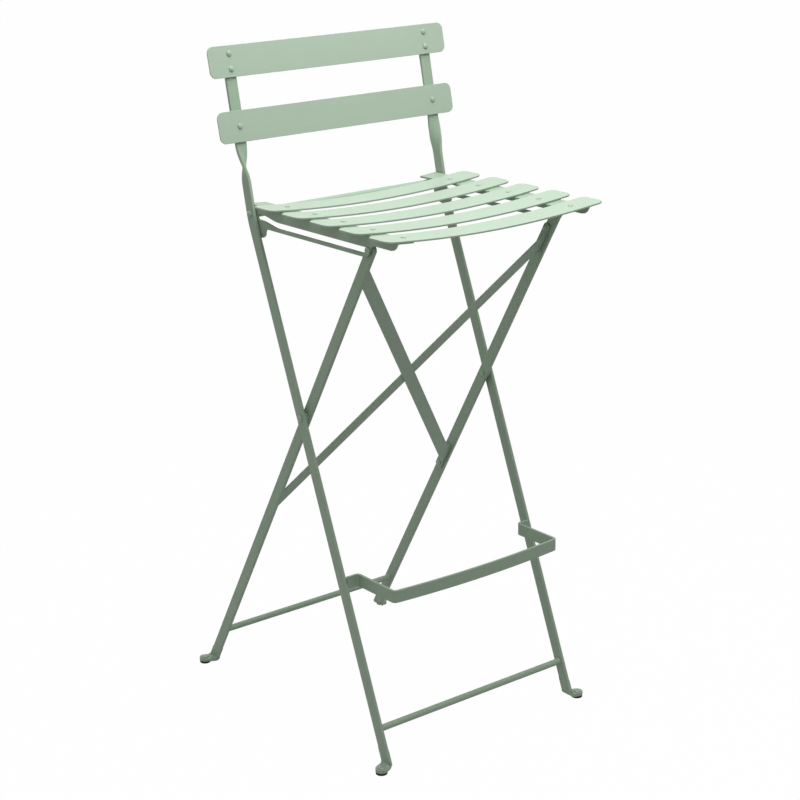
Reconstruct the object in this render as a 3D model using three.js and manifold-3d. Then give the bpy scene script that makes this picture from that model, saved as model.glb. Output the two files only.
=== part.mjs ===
// A tall folding stool of flat steel bar: two long legs that run up into the
// back, two short legs that cross them, and a slatted seat that lifts as the
// legs close. Millimetres, +Z up, +X to the sitter's left hand side seen from
// the front, the front towards -Y.

import * as THREE from 'three';
import { mergeVertices } from 'three/addons/utils/BufferGeometryUtils.js';
import Module from 'manifold-3d';

const wasm = await Module();
wasm.setup();

// Clearances and cutting
const clearance = 0.3;
const overrun = 20;
const circleSides = 16;
const rivetSides = 10;
const sheetSteps = 16;

// Flat bar that the legs are made of
const legWidth = 18;
const legThickness = 5;
const legEdge = 0.8;

// Frame: the crossing pivot, the leans of the legs and where the legs stand
const pivotHeight = 484.2;
const pivotY = 0;
const longLean = THREE.MathUtils.degToRad(21.34);
const shortLean = THREE.MathUtils.degToRad(30.37);
const longOuterX = 179.4;
const legGap = 4.6;

// Feet: the bar is bent outwards into a tab over a round glide
const glideHeight = 4;
const glideRadius = 8.6;
const glideEdge = 0.8;
const tabReach = 15.5;
const footBendRadius = 2;

// Uprights and back
const backLean = THREE.MathUtils.degToRad(11.8);
const backBendDrop = 8.3;
const backBendLength = 26;
const twistBelowSlat = 21;
const twistLength = 62;
const backRise = 234.7;
const uprightBelowTop = 4;
const backSlatReach = 34.1;
const backSlatWidth = 45;
const backSlatThickness = 2;
const backSlatSagitta = 5;
const backSlatCorner = 10;
const backSlatDrop = 92;
const backRivetSpacing = 22;

// Seat
const seatPivotHeight = 765.3;
const seatSlatCount = 5;
const seatSlatReach = 22.1;
const seatSlatDepth = 45;
const seatSlatPitch = 66.1;
const seatSlatThickness = 2.5;
const seatSlatSagitta = 10;
const seatSlatCorner = 11;
const seatEndRise = 18.9;
const seatRearSetback = 30.6;
const railRivetInset = 23.4;
const railThickness = 3;
const railLegGap = 1;
const railFlange = 30;
const railBarHeight = 5.6;
const railNoseLift = 18.6;
const railNoseLength = 50;
const railNoseSetback = 4.6;
const railNoseCorner = 8;
const railFlangeSetback = 9;
const railEyeReach = 10;
const slotHeight = 8.5;
const slotDrop = 8.1;
const slotRise = 5.6;
const slotRearGap = 15.5;
const slotRampLength = 42;
const slotRampStart = 64;
const earDepth = 32.5;
const earLength = 31;
const earEdge = 8;

// Pins and rivets
const pinRadius = 3;
const pinHeadRadius = 5.4;
const pinHeadHeight = 2.4;
const pinTailHeight = 1.8;
const spacerRadius = 8;
const seatRodRadius = 6.2;
const rivetRadius = 2;
const rivetHeadRadius = 4;
const rivetHeadHeight = 1.8;
const seatRivetHeadHeight = 1;
const tailHeight = 1;

// Crossed braces between the short legs
const braceWidth = 19.5;
const braceThickness = 2.5;
const braceLowStation = -183;
const braceHighStation = 271.5;
const braceRivetSpacing = 36;
const braceTabMargin = 7;
const braceRivetGap = 0.4;
const frontBracePlane = -5;

// Stretcher rods and footrest
const rodRadius = 4.9;
const frontRodHeight = 56;
const rearRodHeight = 66.8;
const footrestTop = 268.5;
const footrestHeight = 18.5;
const footrestThickness = 4;
const footrestOuterX = 155.8;
const footrestReach = 84.5;
const footrestBow = 7.6;
const footrestSetback = 8;
const footrestCorner = 5;

// Derived places
const backBendHeight = seatPivotHeight - backBendDrop;
const overallHeight = seatPivotHeight + backRise;
const seatEndHeight = seatPivotHeight + seatEndRise;
const backSlatLength = (longOuterX + backSlatReach) * 2;
const longX = longOuterX - legThickness / 2;
const longInnerX = longOuterX - legThickness;
const shortOuterX = longInnerX - legGap;
const shortX = shortOuterX - legThickness / 2;
const shortInnerX = shortOuterX - legThickness;
const tabTop = glideHeight + legThickness;
const railOuterX = longInnerX - railLegGap;
const railInnerX = railOuterX - railThickness;
const seatSlatLength = (railOuterX + seatSlatReach) * 2;
const seatPivotY = longLineY(seatPivotHeight);
const slotZ = seatPivotHeight - slotDrop;
const slotPinHeight = slotZ;
const slotPinY = shortLineY(slotPinHeight);

// Colours
const paint = { color: 0xa9c1ad, roughness: 0.55, metalness: 0.1 };
const steel = { color: 0x9aa39c, roughness: 0.35, metalness: 0.9 };
const rubber = { color: 0x1b1c1b, roughness: 0.85, metalness: 0 };

function longLineY(z) {
  return pivotY + (z - pivotHeight) * Math.tan(longLean);
}

function shortLineY(z) {
  return pivotY - (z - pivotHeight) * Math.tan(shortLean);
}

// Closed meshes, and solids that can be joined and cut

function closed(geometry) {
  const bare = geometry.clone();
  bare.deleteAttribute('normal');
  bare.deleteAttribute('uv');
  const merged = mergeVertices(bare, 1e-4);
  const index = merged.index.array;
  const kept = [];
  for (let i = 0; i < index.length; i += 3) {
    const [a, b, c] = [index[i], index[i + 1], index[i + 2]];
    if (a !== b && b !== c && c !== a) kept.push(a, b, c);
  }
  merged.setIndex(kept);
  return merged;
}

function solid(geometry) {
  const shell = closed(geometry);
  return new wasm.Manifold(new wasm.Mesh({
    numProp: 3,
    vertProperties: new Float32Array(shell.attributes.position.array),
    triVerts: new Uint32Array(shell.index.array),
  }));
}

function geometryOf(body) {
  const mesh = body.getMesh();
  const geometry = new THREE.BufferGeometry();
  geometry.setAttribute('position', new THREE.BufferAttribute(new Float32Array(mesh.vertProperties), 3));
  geometry.setIndex(new THREE.BufferAttribute(new Uint32Array(mesh.triVerts), 1));
  geometry.computeVertexNormals();
  return geometry;
}

function mirrorX(geometry) {
  const mirrored = geometry.clone().scale(-1, 1, 1);
  const index = mirrored.index.array;
  for (let i = 0; i < index.length; i += 3) {
    [index[i], index[i + 1]] = [index[i + 1], index[i]];
  }
  return mirrored;
}

// Profiles pushed out along one axis

const axisX = new THREE.Vector3(1, 0, 0);
const axisY = new THREE.Vector3(0, 1, 0);
const axisZ = new THREE.Vector3(0, 0, 1);
const sideBasis = new THREE.Matrix4().makeBasis(axisY, axisZ, axisX);
const frontBasis = new THREE.Matrix4().makeBasis(axisX, axisZ, axisY.clone().negate());

function extrude(shape, depth) {
  return new THREE.ExtrudeGeometry(shape, { depth, bevelEnabled: false, curveSegments: circleSides / 4 });
}

function sideSolid(shape, fromX, toX) {
  return solid(extrude(shape, toX - fromX).applyMatrix4(sideBasis).translate(fromX, 0, 0));
}

function frontSolid(shape, fromY, toY) {
  return solid(extrude(shape, toY - fromY).applyMatrix4(frontBasis).translate(0, toY, 0));
}

function planSolid(shape, fromZ, toZ) {
  return solid(extrude(shape, toZ - fromZ).translate(0, 0, fromZ));
}

function polygon(points) {
  return new THREE.Shape(points.map(([u, v]) => new THREE.Vector2(u, v)));
}

function roundedRectangle(length, height, corner) {
  const [u, v] = [length / 2, height / 2];
  const shape = new THREE.Shape();
  shape.moveTo(-u + corner, -v);
  shape.lineTo(u - corner, -v);
  shape.absarc(u - corner, -v + corner, corner, -Math.PI / 2, 0);
  shape.lineTo(u, v - corner);
  shape.absarc(u - corner, v - corner, corner, 0, Math.PI / 2);
  shape.lineTo(-u + corner, v);
  shape.absarc(-u + corner, v - corner, corner, Math.PI / 2, Math.PI);
  shape.lineTo(-u, -v + corner);
  shape.absarc(-u + corner, -v + corner, corner, Math.PI, Math.PI * 3 / 2);
  return shape;
}

// The outline of a strip of one thickness that follows a line of points
function ribbon(points, thickness) {
  const left = [];
  const right = [];
  points.forEach((point, i) => {
    const before = points[Math.max(i - 1, 0)];
    const after = points[Math.min(i + 1, points.length - 1)];
    const along = after.clone().sub(before).normalize();
    const aside = new THREE.Vector2(-along.y, along.x).multiplyScalar(thickness / 2);
    left.push(point.clone().add(aside));
    right.unshift(point.clone().sub(aside));
  });
  return new THREE.Shape([...left, ...right]);
}

function hole(radius, position, axis, length) {
  const turn = new THREE.Quaternion().setFromUnitVectors(axisY, axis);
  const holeSides = radius > rivetHeadRadius / 2 + clearance ? circleSides : rivetSides;
  const drill = new THREE.CylinderGeometry(radius, radius, length, holeSides);
  return solid(drill.applyQuaternion(turn).translate(position.x, position.y, position.z));
}

// Flat bar, with its sharp edges taken off

function barSection(width, thickness, edge) {
  const [u, v] = [thickness / 2, width / 2];
  return polygon([
    [-u + edge, -v], [u - edge, -v], [u, -v + edge], [u, v - edge],
    [u - edge, v], [-u + edge, v], [-u, v - edge], [-u, -v + edge],
  ]);
}

// A bar carried through a list of stations, each one giving a centre and the
// directions of its thickness and width
function sweptBar(section, stations) {
  const steps = stations.length - 1;
  const bar = new THREE.ExtrudeGeometry(section, { depth: steps, steps, bevelEnabled: false });
  const position = bar.attributes.position;
  for (let i = 0; i < position.count; i += 1) {
    const { centre, thicknessAxis, widthAxis } = stations[Math.round(position.getZ(i))];
    const point = centre.clone()
      .addScaledVector(thicknessAxis, position.getX(i))
      .addScaledVector(widthAxis, position.getY(i));
    position.setXYZ(i, point.x, point.y, point.z);
  }
  return solid(bar);
}

// Long leg: straight up to the seat, leaned back less above it, and turned a
// quarter so that its inner face looks forward behind the back slats

const legEnd = pivotHeight / Math.cos(longLean);
const bendStart = (backBendHeight - pivotHeight) / Math.cos(longLean) - backBendLength / 2;

function uprightLean(station) {
  const share = THREE.MathUtils.clamp((station - bendStart) / backBendLength, 0, 1);
  return THREE.MathUtils.lerp(longLean, backLean, share);
}

function uprightPoint(station) {
  const bent = THREE.MathUtils.clamp(station - bendStart, 0, backBendLength);
  const straight = Math.min(station, bendStart);
  const beyond = Math.max(station - bendStart - backBendLength, 0);
  const bendRadius = backBendLength / (longLean - backLean);
  const lean = longLean - bent / bendRadius;
  const y = straight * Math.sin(longLean) + beyond * Math.sin(backLean)
    + bendRadius * (Math.cos(lean) - Math.cos(longLean));
  const z = straight * Math.cos(longLean) + beyond * Math.cos(backLean)
    + bendRadius * (Math.sin(longLean) - Math.sin(lean));
  return new THREE.Vector3(longX, pivotY + y, pivotHeight + z);
}

function uprightStation(station) {
  const lean = uprightLean(station);
  const rearward = new THREE.Vector3(0, Math.cos(lean), -Math.sin(lean));
  const turn = THREE.MathUtils.smoothstep(station, twistFrom, twistFrom + twistLength) * Math.PI / 2;
  const thicknessAxis = axisX.clone().multiplyScalar(Math.cos(turn)).addScaledVector(rearward, Math.sin(turn));
  const widthAxis = rearward.clone().multiplyScalar(Math.cos(turn)).addScaledVector(axisX, -Math.sin(turn));
  return { centre: uprightPoint(station), thicknessAxis, widthAxis };
}

// The station on the upright that lies at a given height above the bends
function stationAtHeight(height) {
  const start = bendStart + backBendLength;
  return start + (height - uprightPoint(start).z) / Math.cos(backLean);
}

// The foot: an L of bar in front view, as wide as the bar in side view, with
// the tab running on in the bar's own line after the bend
function foot(centreX, lean, direction) {
  const inner = centreX - legThickness / 2;
  const outer = centreX + legThickness / 2;
  const outerBend = footBendRadius + legThickness;
  const top = tabTop + overrun;
  const tabEnd = outer + tabReach + legWidth;
  const ell = new THREE.Shape();
  ell.moveTo(outer, top);
  ell.lineTo(outer, tabTop + footBendRadius);
  ell.absarc(outer + footBendRadius, tabTop + footBendRadius, footBendRadius, Math.PI, Math.PI * 3 / 2);
  ell.lineTo(tabEnd, tabTop);
  ell.lineTo(tabEnd, glideHeight);
  ell.lineTo(inner + outerBend, glideHeight);
  ell.absarc(inner + outerBend, glideHeight + outerBend, outerBend, -Math.PI / 2, -Math.PI, true);
  ell.lineTo(inner, top);
  const root = footRoot(centreX, lean, direction);
  const centre = footCentre(centreX, lean, direction);
  const along = centre.clone().sub(root).normalize();
  const aside = new THREE.Vector2(-along.y, along.x).multiplyScalar(legWidth / 2);
  const back = root.clone().addScaledVector(along, -overrun);
  const heading = Math.atan2(along.y, along.x);
  const outline = new THREE.Shape();
  outline.moveTo(back.x - aside.x, back.y - aside.y);
  outline.lineTo(centre.x - aside.x, centre.y - aside.y);
  outline.absarc(centre.x, centre.y, legWidth / 2, heading - Math.PI / 2, heading + Math.PI / 2);
  outline.lineTo(back.x + aside.x, back.y + aside.y);
  const half = legWidth / 2 / Math.cos(lean);
  const slope = direction * Math.tan(lean);
  const low = tabTop;
  const bar = polygon([
    [root.y - half, low],
    [root.y + half, low],
    [root.y + half + slope * overrun, top],
    [root.y - half + slope * overrun, top],
  ]);
  const tab = planSolid(outline, glideHeight / 2, tabTop + footBendRadius);
  const stem = sideSolid(bar, inner - overrun, outer + overrun);
  const reach = legWidth * 2 + Math.abs(slope) * overrun;
  const bend = frontSolid(ell, root.y - reach, root.y + reach);
  const rivetHole = hole(rivetRadius + clearance, new THREE.Vector3(centre.x, centre.y, tabTop), axisZ, overrun);
  return bend.intersect(tab.add(stem)).subtract(rivetHole);
}

// Plan points of the tab: where the bar's line meets it, and its round end.
// direction is 1 where the leg leans back as it rises, and -1 where it leans forward
function footRoot(centreX, lean, direction) {
  const y = pivotY + direction * (tabTop - pivotHeight) * Math.tan(lean);
  return new THREE.Vector2(centreX, y);
}

function footCentre(centreX, lean, direction) {
  const root = footRoot(centreX, lean, direction);
  return root.add(new THREE.Vector2(Math.cos(lean), -direction * Math.sin(lean)).multiplyScalar(tabReach));
}

function aboveFoot(bar) {
  const block = new THREE.BoxGeometry(longOuterX * 4, legEnd * 4, tabTop + legEnd);
  const ground = solid(block.translate(0, 0, (tabTop - legEnd) / 2 + footBendRadius));
  return bar.subtract(ground);
}

const slatHeights = [
  overallHeight - backSlatWidth / 2 * Math.cos(backLean),
  overallHeight - backSlatWidth / 2 * Math.cos(backLean) - backSlatDrop * Math.cos(backLean),
];
const twistFrom = stationAtHeight(slatHeights[1]) - twistBelowSlat - twistLength;
const backRivets = [
  { name: 'top_upper', slat: 0, offset: backRivetSpacing / 2 },
  { name: 'top_lower', slat: 0, offset: -backRivetSpacing / 2 },
  { name: 'low', slat: 1, offset: 0 },
];

function backRivetPoint(rivet) {
  const station = stationAtHeight(slatHeights[rivet.slat]) + rivet.offset;
  return uprightPoint(station);
}

function longLeg() {
  const top = stationAtHeight(overallHeight - uprightBelowTop);
  const list = [-legEnd, bendStart];
  for (let i = 1; i <= 3; i += 1) list.push(bendStart + backBendLength * i / 3);
  const turns = 18;
  for (let i = 0; i <= turns; i += 1) list.push(twistFrom + twistLength * i / turns);
  list.push(top);
  const stations = [...new Set(list)].sort((a, b) => a - b).map(uprightStation);
  const bar = aboveFoot(sweptBar(barSection(legWidth, legThickness, legEdge), stations));
  let leg = bar.add(foot(longX, longLean, 1));
  const pins = [
    new THREE.Vector3(longX, pivotY, pivotHeight),
    new THREE.Vector3(longX, seatPivotY, seatPivotHeight),
  ];
  for (const pin of pins) leg = leg.subtract(hole(pinRadius + clearance, pin, axisX, overrun));
  for (const rivet of backRivets) {
    leg = leg.subtract(hole(rivetRadius + clearance, backRivetPoint(rivet), backNormal, overrun));
  }
  return geometryOf(leg);
}

// Short leg: straight bar from its foot to the pin in the seat rail's slot

function shortPoint(station, x) {
  return new THREE.Vector3(x, pivotY - station * Math.sin(shortLean), pivotHeight + station * Math.cos(shortLean));
}

const shortRearward = new THREE.Vector3(0, Math.cos(shortLean), Math.sin(shortLean));
const slotPinStation = (slotPinHeight - pivotHeight) / Math.cos(shortLean);
const braceStations = [braceLowStation, braceHighStation].flatMap(
  (station) => [station - braceRivetSpacing / 2, station + braceRivetSpacing / 2],
);

// The braces lie one behind the other, each with its rivets just behind it
const rearBracePlane = frontBracePlane + braceThickness + clearance;

function braceRivetOffset(planeY) {
  return planeY + braceThickness + rivetHeadRadius + braceRivetGap;
}

function braceRivetPoint(station, planeY, x) {
  return shortPoint(station, x).addScaledVector(shortRearward, braceRivetOffset(planeY));
}

// A leg takes the low end of one brace and the high end of the other
function shortLeg(lowPlane, highPlane) {
  const stations = [-pivotHeight / Math.cos(shortLean), slotPinStation + legWidth].map((station) => ({
    centre: shortPoint(station, shortX),
    thicknessAxis: axisX,
    widthAxis: shortRearward,
  }));
  const bar = sweptBar(barSection(legWidth, legThickness, legEdge), stations);
  const outline = new THREE.Shape();
  outline.moveTo(legWidth / 2, -legEnd * 2);
  outline.lineTo(legWidth / 2, slotPinStation);
  outline.absarc(0, slotPinStation, legWidth / 2, 0, Math.PI);
  outline.lineTo(-legWidth / 2, -legEnd * 2);
  const round = extrude(outline, legThickness * 2).applyMatrix4(sideBasis)
    .translate(shortX - legThickness, 0, 0)
    .rotateX(shortLean)
    .translate(0, pivotY, pivotHeight);
  let leg = aboveFoot(bar.intersect(solid(round))).add(foot(shortX, shortLean, -1));
  leg = leg.subtract(hole(pinRadius + clearance, shortPoint(0, shortX), axisX, overrun));
  leg = leg.subtract(hole(pinRadius + clearance, shortPoint(slotPinStation, shortX), axisX, overrun));
  for (const station of braceStations) {
    const at = braceRivetPoint(station, station > 0 ? highPlane : lowPlane, shortX);
    leg = leg.subtract(hole(rivetRadius + clearance, at, axisX, overrun));
  }
  return geometryOf(leg);
}

// Back slats: sheet curved round the sitter's back, in the back's own frame,
// where the origin lies on the uprights' centre line

const backNormal = new THREE.Vector3(0, -Math.cos(backLean), Math.sin(backLean));
const backRadius = (backSlatLength ** 2 / 4 + backSlatSagitta ** 2) / (2 * backSlatSagitta);

function backSlatMiddle() {
  const touch = longX - legWidth / 2;
  return touch ** 2 / (2 * backRadius) - legThickness / 2 - clearance - backSlatThickness / 2;
}

function backSlat(rivets) {
  const steps = sheetSteps;
  const line = [];
  for (let i = 0; i <= steps; i += 1) {
    const x = (backSlatLength + overrun) * (i / steps - 1 / 2);
    line.push(new THREE.Vector2(x, backSlatMiddle() - x ** 2 / (2 * backRadius)));
  }
  const sheet = planSolid(ribbon(line, backSlatThickness), -backSlatWidth, backSlatWidth);
  const outline = roundedRectangle(backSlatLength, backSlatWidth, backSlatCorner);
  let slat = sheet.intersect(frontSolid(outline, -overrun, overrun));
  for (const side of [-1, 1]) {
    for (const rivet of rivets) {
      slat = slat.subtract(hole(rivetRadius + clearance, new THREE.Vector3(side * longX, 0, rivet.offset), axisY,
        overrun * 2));
    }
  }
  return geometryOf(slat);
}

// Footrest: one strip bent into a shallow U, with its ends turned out to the legs

function footrest() {
  const strip = footrestThickness;
  const armX = footrestOuterX - strip / 2;
  const middle = footrestTop - footrestHeight / 2;
  const rearY = longLineY(middle) - footrestSetback;
  const frontY = rearY - footrestReach;
  const bend = footrestCorner;
  const path = new THREE.Path();
  path.moveTo(longInnerX - clearance, rearY);
  path.lineTo(armX + bend, rearY);
  path.absarc(armX + bend, rearY - bend, bend, Math.PI / 2, Math.PI);
  path.lineTo(armX, frontY + bend);
  path.absarc(armX - bend, frontY + bend, bend, 0, -Math.PI / 2, true);
  const half = path.getPoints(circleSides / 4);
  const bowSteps = 12;
  const bowHalf = armX - bend;
  for (let i = 1; i <= bowSteps; i += 1) {
    const x = bowHalf * (1 - i / bowSteps);
    half.push(new THREE.Vector2(x, frontY - footrestBow * (1 - (x / bowHalf) ** 2)));
  }
  const mirrored = half.slice(0, -1).reverse().map((point) => new THREE.Vector2(-point.x, point.y));
  const line = [...half, ...mirrored].filter((point, i, all) => i === 0 || point.distanceTo(all[i - 1]) > strip / 100);
  return geometryOf(planSolid(ribbon(line, strip), footrestTop - footrestHeight, footrestTop));
}

// Seat slats: dished sheet, lying on the flanges of the two rails

function seatTop(x) {
  return seatEndHeight - seatSlatSagitta * (1 - (x / (seatSlatLength / 2)) ** 2);
}

const seatRivetX = railOuterX - railRivetInset;
const flangeSlope = Math.atan(2 * seatSlatSagitta * seatRivetX / (seatSlatLength / 2) ** 2);

function seatSlat() {
  const steps = sheetSteps;
  const line = [];
  for (let i = 0; i <= steps; i += 1) {
    const x = (seatSlatLength + overrun) * (i / steps - 1 / 2);
    line.push(new THREE.Vector2(x, seatTop(x) - seatSlatThickness / 2));
  }
  const sheet = frontSolid(ribbon(line, seatSlatThickness), -seatSlatDepth, seatSlatDepth);
  const outline = roundedRectangle(seatSlatLength, seatSlatDepth, seatSlatCorner);
  let slat = sheet.intersect(planSolid(outline, pivotHeight, overallHeight));
  for (const side of [-1, 1]) {
    const axis = new THREE.Vector3(-side * Math.sin(flangeSlope), 0, Math.cos(flangeSlope));
    const at = new THREE.Vector3(side * seatRivetX, 0, seatTop(seatRivetX) + clearance);
    slat = slat.subtract(hole(rivetRadius + clearance, at, axis, overrun));
  }
  return geometryOf(slat);
}

const seatRearY = seatPivotY - seatRearSetback;
const seatSlatY = Array.from({ length: seatSlatCount }, (_, i) => seatRearY - seatSlatDepth / 2 - i * seatSlatPitch);
const seatFrontY = seatSlatY[seatSlatCount - 1] - seatSlatDepth / 2;

// Seat rail: sheet folded to an L, with a long slot for the short leg's pin.
// The slot climbs at its rear end, and an ear drops below it

function flangeTop(x) {
  const under = seatTop(seatRivetX) - seatSlatThickness / Math.cos(flangeSlope) - clearance * 1.5;
  return under + (x - seatRivetX) * Math.tan(flangeSlope);
}

function slotCurve() {
  const rear = seatPivotY - slotRearGap;
  const rampEnd = seatPivotY - slotRampStart + slotRampLength;
  const rampStart = seatPivotY - slotRampStart;
  const steps = 8;
  const line = [new THREE.Vector2(slotPinY, slotZ)];
  for (let i = 0; i <= steps; i += 1) {
    const y = THREE.MathUtils.lerp(rampStart, rampEnd, i / steps);
    line.push(new THREE.Vector2(y, slotZ + slotRise * THREE.MathUtils.smoothstep(y, rampStart, rampEnd)));
  }
  line.push(new THREE.Vector2(rear, slotZ + slotRise));
  return line;
}

function railOutline() {
  const lowest = slotZ - slotHeight / 2 - railBarHeight;
  const top = seatEndHeight;
  const rear = seatPivotY + railEyeReach;
  const noseY = seatFrontY + railNoseSetback + railNoseCorner;
  const noseZ = lowest + railNoseLift;
  const noseBack = noseY + railNoseLength;
  const earBottom = seatPivotHeight - earDepth;
  const earFront = rear - earLength - earEdge;
  const shape = new THREE.Shape();
  shape.moveTo(rear, top);
  shape.lineTo(noseY - railNoseCorner, top);
  shape.quadraticCurveTo(noseY - railNoseCorner / 2, noseZ, noseY + railNoseCorner, noseZ);
  shape.lineTo(noseBack - railNoseCorner, noseZ);
  shape.quadraticCurveTo(noseBack, noseZ, noseBack + railNoseCorner / 2, lowest + railNoseCorner);
  shape.quadraticCurveTo(noseBack + railNoseCorner, lowest, noseBack + railNoseCorner * 2, lowest);
  shape.lineTo(earFront - earEdge, lowest);
  shape.quadraticCurveTo(earFront, lowest, earFront, lowest - earEdge);
  shape.quadraticCurveTo(earFront + earEdge / 4, earBottom, earFront + earEdge * 3 / 2, earBottom);
  shape.quadraticCurveTo(rear, earBottom, rear, earBottom + earEdge * 2);
  return shape;
}

function seatRail() {
  const bottom = seatPivotHeight - earDepth;
  const inner = railOuterX - railFlange;
  const section = polygon([
    [railOuterX, bottom - overrun],
    [railOuterX, flangeTop(railOuterX)],
    [inner, flangeTop(inner)],
    [inner, flangeTop(inner) - railThickness],
    [railInnerX, flangeTop(railInnerX) - railThickness],
    [railInnerX, bottom - overrun],
  ]);
  const length = seatPivotY + railEyeReach - seatFrontY;
  const fold = frontSolid(section, seatFrontY - length, seatPivotY + length);
  let rail = fold.intersect(sideSolid(railOutline(), inner - overrun, railOuterX + overrun));
  const bare = planSolid(polygon([
    [inner - overrun, seatFrontY - overrun],
    [railInnerX, seatFrontY - overrun],
    [railInnerX, seatFrontY + railFlangeSetback],
    [inner - overrun, seatFrontY + railFlangeSetback],
  ]), pivotHeight, overallHeight);
  rail = rail.subtract(bare);
  const line = slotCurve();
  const [from, to] = [railInnerX - railThickness / 2, railOuterX + overrun];
  rail = rail.subtract(sideSolid(ribbon(line, slotHeight), from, to));
  for (const end of [line[0], line[line.length - 1]]) {
    const centre = new THREE.Vector3((from + to) / 2, end.x, end.y);
    rail = rail.subtract(hole(slotHeight / 2, centre, axisX, to - from));
  }
  const pivot = new THREE.Vector3(railInnerX, seatPivotY, seatPivotHeight);
  rail = rail.subtract(hole(pinRadius + clearance, pivot, axisX, railThickness * 4));
  const axis = new THREE.Vector3(-Math.sin(flangeSlope), 0, Math.cos(flangeSlope));
  for (const y of seatSlatY) {
    const at = new THREE.Vector3(seatRivetX, y, seatTop(seatRivetX) + clearance);
    rail = rail.subtract(hole(rivetRadius + clearance, at, axis, overrun));
  }
  return geometryOf(rail);
}

// Brace: a flat bar from high on one short leg to low on the other, its ends
// bent flat against the inner faces of the legs. Its own frame has x across,
// y out of the plane of the short legs and z up along them, from the pivot

function brace(planeY) {
  const tabX = shortInnerX - clearance;
  const halfTab = braceRivetSpacing / 2 + braceTabMargin;
  const from = new THREE.Vector2(-tabX, braceLowStation);
  const to = new THREE.Vector2(tabX, braceHighStation);
  const along = to.clone().sub(from).normalize();
  const wide = ribbon([
    from.clone().addScaledVector(along, -overrun),
    to.clone().addScaledVector(along, overrun),
  ], braceWidth);
  const between = polygon([[-tabX, -legEnd], [tabX, -legEnd], [tabX, legEnd], [-tabX, legEnd]]);
  const bar = frontSolid(wide, planeY, planeY + braceThickness)
    .intersect(frontSolid(between, planeY - overrun, planeY + braceThickness + overrun));
  let body = bar;
  for (const [side, station] of [[-1, braceLowStation], [1, braceHighStation]]) {
    const tab = roundedRectangle(legWidth / 2 - planeY, halfTab * 2, braceThickness)
      .extractPoints(circleSides / 4).shape;
    const placed = new THREE.Shape(tab.map((p) => new THREE.Vector2(
      p.x + (legWidth / 2 + planeY) / 2, p.y + station)));
    const inner = side > 0 ? tabX - braceThickness : -tabX;
    body = body.add(sideSolid(placed, inner, inner + braceThickness));
    for (const offset of [-1 / 2, 1 / 2]) {
      const alongLeg = station + offset * braceRivetSpacing;
      const at = new THREE.Vector3(side * tabX, braceRivetOffset(planeY), alongLeg);
      body = body.subtract(hole(rivetRadius + clearance, at, axisX, braceThickness * 3));
    }
  }
  return geometryOf(body);
}

// Pins, rivets, spacers, rods and glides

// A headed pin along +Y: a low round head above the origin, a shank below it
// and, where a tail height is given, a closed tail at its far end
function headedPin(shankRadius, headRadius, headHeight, grip, tail) {
  const steps = 3;
  const profile = [];
  for (let i = 0; i <= steps; i += 1) {
    const angle = Math.PI / 2 * i / steps;
    profile.push(new THREE.Vector2(headRadius * Math.sin(angle), headHeight * Math.cos(angle)));
  }
  profile.push(new THREE.Vector2(shankRadius, 0));
  profile.push(new THREE.Vector2(shankRadius, -grip));
  if (tail > 0) {
    const tailRadius = (headRadius + shankRadius) / 2;
    profile.push(new THREE.Vector2(tailRadius, -grip));
    profile.push(new THREE.Vector2(tailRadius, -grip - tail / 2));
    profile.push(new THREE.Vector2(shankRadius, -grip - tail));
  }
  profile.push(new THREE.Vector2(0, -grip - tail));
  profile[0].x = 0;
  return closed(new THREE.LatheGeometry(profile.reverse(), headRadius > rivetHeadRadius ? circleSides : rivetSides));
}

// The rod that the seat turns on: thick between the rails, thin through the
// rails and legs, with a round head at each end
function seatPivotRod() {
  const inner = railInnerX - clearance;
  const outer = longOuterX + clearance;
  const steps = 3;
  const half = [[seatRodRadius, inner], [pinRadius, inner], [pinRadius, outer]];
  for (let i = steps; i > 0; i -= 1) {
    const angle = Math.PI / 2 * i / steps;
    half.push([pinHeadRadius * Math.sin(angle), outer + pinHeadHeight * Math.cos(angle)]);
  }
  half.push([0, outer + pinHeadHeight]);
  const other = half.map(([r, h]) => [r, -h]).reverse();
  return closed(new THREE.LatheGeometry([...other, ...half].map(([r, h]) => new THREE.Vector2(r, h)), circleSides));
}

function washer(outerRadius, innerRadius, thickness) {
  const [low, high] = [-thickness / 2, thickness / 2];
  const profile = [[innerRadius, low], [outerRadius, low], [outerRadius, high], [innerRadius, high], [innerRadius, low]];
  return closed(new THREE.LatheGeometry(profile.map(([r, h]) => new THREE.Vector2(r, h)), circleSides));
}

function disc(radius, height, edge) {
  const profile = [[0, 0], [radius - edge, 0], [radius, edge], [radius, height - edge / 2],
    [radius - edge / 2, height], [0, height]];
  return closed(new THREE.LatheGeometry(profile.map(([r, h]) => new THREE.Vector2(r, h)), circleSides));
}

const stool = new THREE.Group();
const longFrame = new THREE.Group();
const shortFrame = new THREE.Group();
const seat = new THREE.Group();
stool.add(longFrame, shortFrame, seat);

function add(group, name, geometry, look) {
  const mesh = new THREE.Mesh(geometry, new THREE.MeshStandardMaterial(look));
  mesh.name = name;
  group.add(mesh);
  return mesh;
}

function pointAlong(mesh, position, axis) {
  mesh.position.copy(position);
  mesh.quaternion.setFromUnitVectors(axisY, axis);
  return mesh;
}

const sides = [['left', -1], ['right', 1]];

function outward(side) {
  return axisX.clone().multiplyScalar(side);
}

function addPair(group, name, geometry, look) {
  add(group, `${name}_right`, geometry, look);
  add(group, `${name}_left`, mirrorX(geometry), look);
}

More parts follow.
